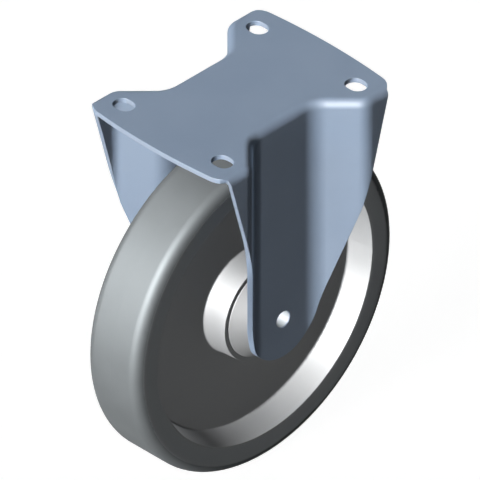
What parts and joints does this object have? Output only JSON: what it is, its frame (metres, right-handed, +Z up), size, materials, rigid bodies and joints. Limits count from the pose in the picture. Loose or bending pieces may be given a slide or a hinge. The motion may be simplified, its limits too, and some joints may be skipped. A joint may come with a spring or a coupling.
{
  "type": "fixed caster",
  "caption": "Rigid plate caster: a waisted pressed steel fork with slotted bolt holes, and a ball-bearing wheel with a recessed cast centre and a moulded tyre.",
  "frame": {"origin": "centre of the plate's top face, which bolts under a load", "axes": "+Z up, out of the plate; +X is the rolling direction; +Y runs along the axle"},
  "size_m": [0.203, 0.11, 0.2375],
  "materials": {
    "zinc_plated_sheet": "blue-passivated zinc plate, satin",
    "turned_steel": "turned, bright zinc plate",
    "cast_centre": "die cast, fine blasted",
    "grey_tyre": "smooth moulded, matt",
    "bearing_steel": "ground and polished",
    "shield_sheet": "plain pressed sheet",
    "black_plastic": "moulded, matt"
  },
  "bodies": {
    "bracket": {"bracket": "zinc_plated_sheet", "axle_tube": "turned_steel", "spacer_tube": "turned_steel", "bush_left": "turned_steel", "bush_right": "turned_steel", "inner_ring_left": "bearing_steel", "inner_ring_right": "bearing_steel"},
    "wheel": {"wheel_centre": "cast_centre", "tyre": "grey_tyre", "collar_left": "cast_centre", "dust_cover_left": "black_plastic", "outer_ring_left": "bearing_steel", "outer_shield_left": "shield_sheet", "inner_shield_left": "shield_sheet", "collar_right": "cast_centre", "dust_cover_right": "black_plastic", "outer_ring_right": "bearing_steel", "outer_shield_right": "shield_sheet", "inner_shield_right": "shield_sheet"},
    "ball_set_left": {"balls_left": "bearing_steel", "ball_cage_left": "black_plastic"},
    "ball_set_right": {"balls_right": "bearing_steel", "ball_cage_right": "black_plastic"}
  },
  "joints": [
    {"name": "wheel_spin", "type": "hinge", "parent": "bracket", "child": "wheel", "pos_m": [0, 0, -0.136], "axis": [0, 1, 0], "continuous": true},
    {"name": "cage_spin_left", "type": "hinge", "parent": "bracket", "child": "ball_set_left", "pos_m": [0, 0, -0.136], "axis": [0, 1, 0], "continuous": true},
    {"name": "cage_spin_right", "type": "hinge", "parent": "bracket", "child": "ball_set_right", "pos_m": [0, 0, -0.136], "axis": [0, 1, 0], "continuous": true}
  ],
  "couplings": [
    {"joint": "cage_spin_left", "follows": "wheel_spin", "ratio": 0.6185},
    {"joint": "cage_spin_right", "follows": "wheel_spin", "ratio": 0.6185}
  ]
}
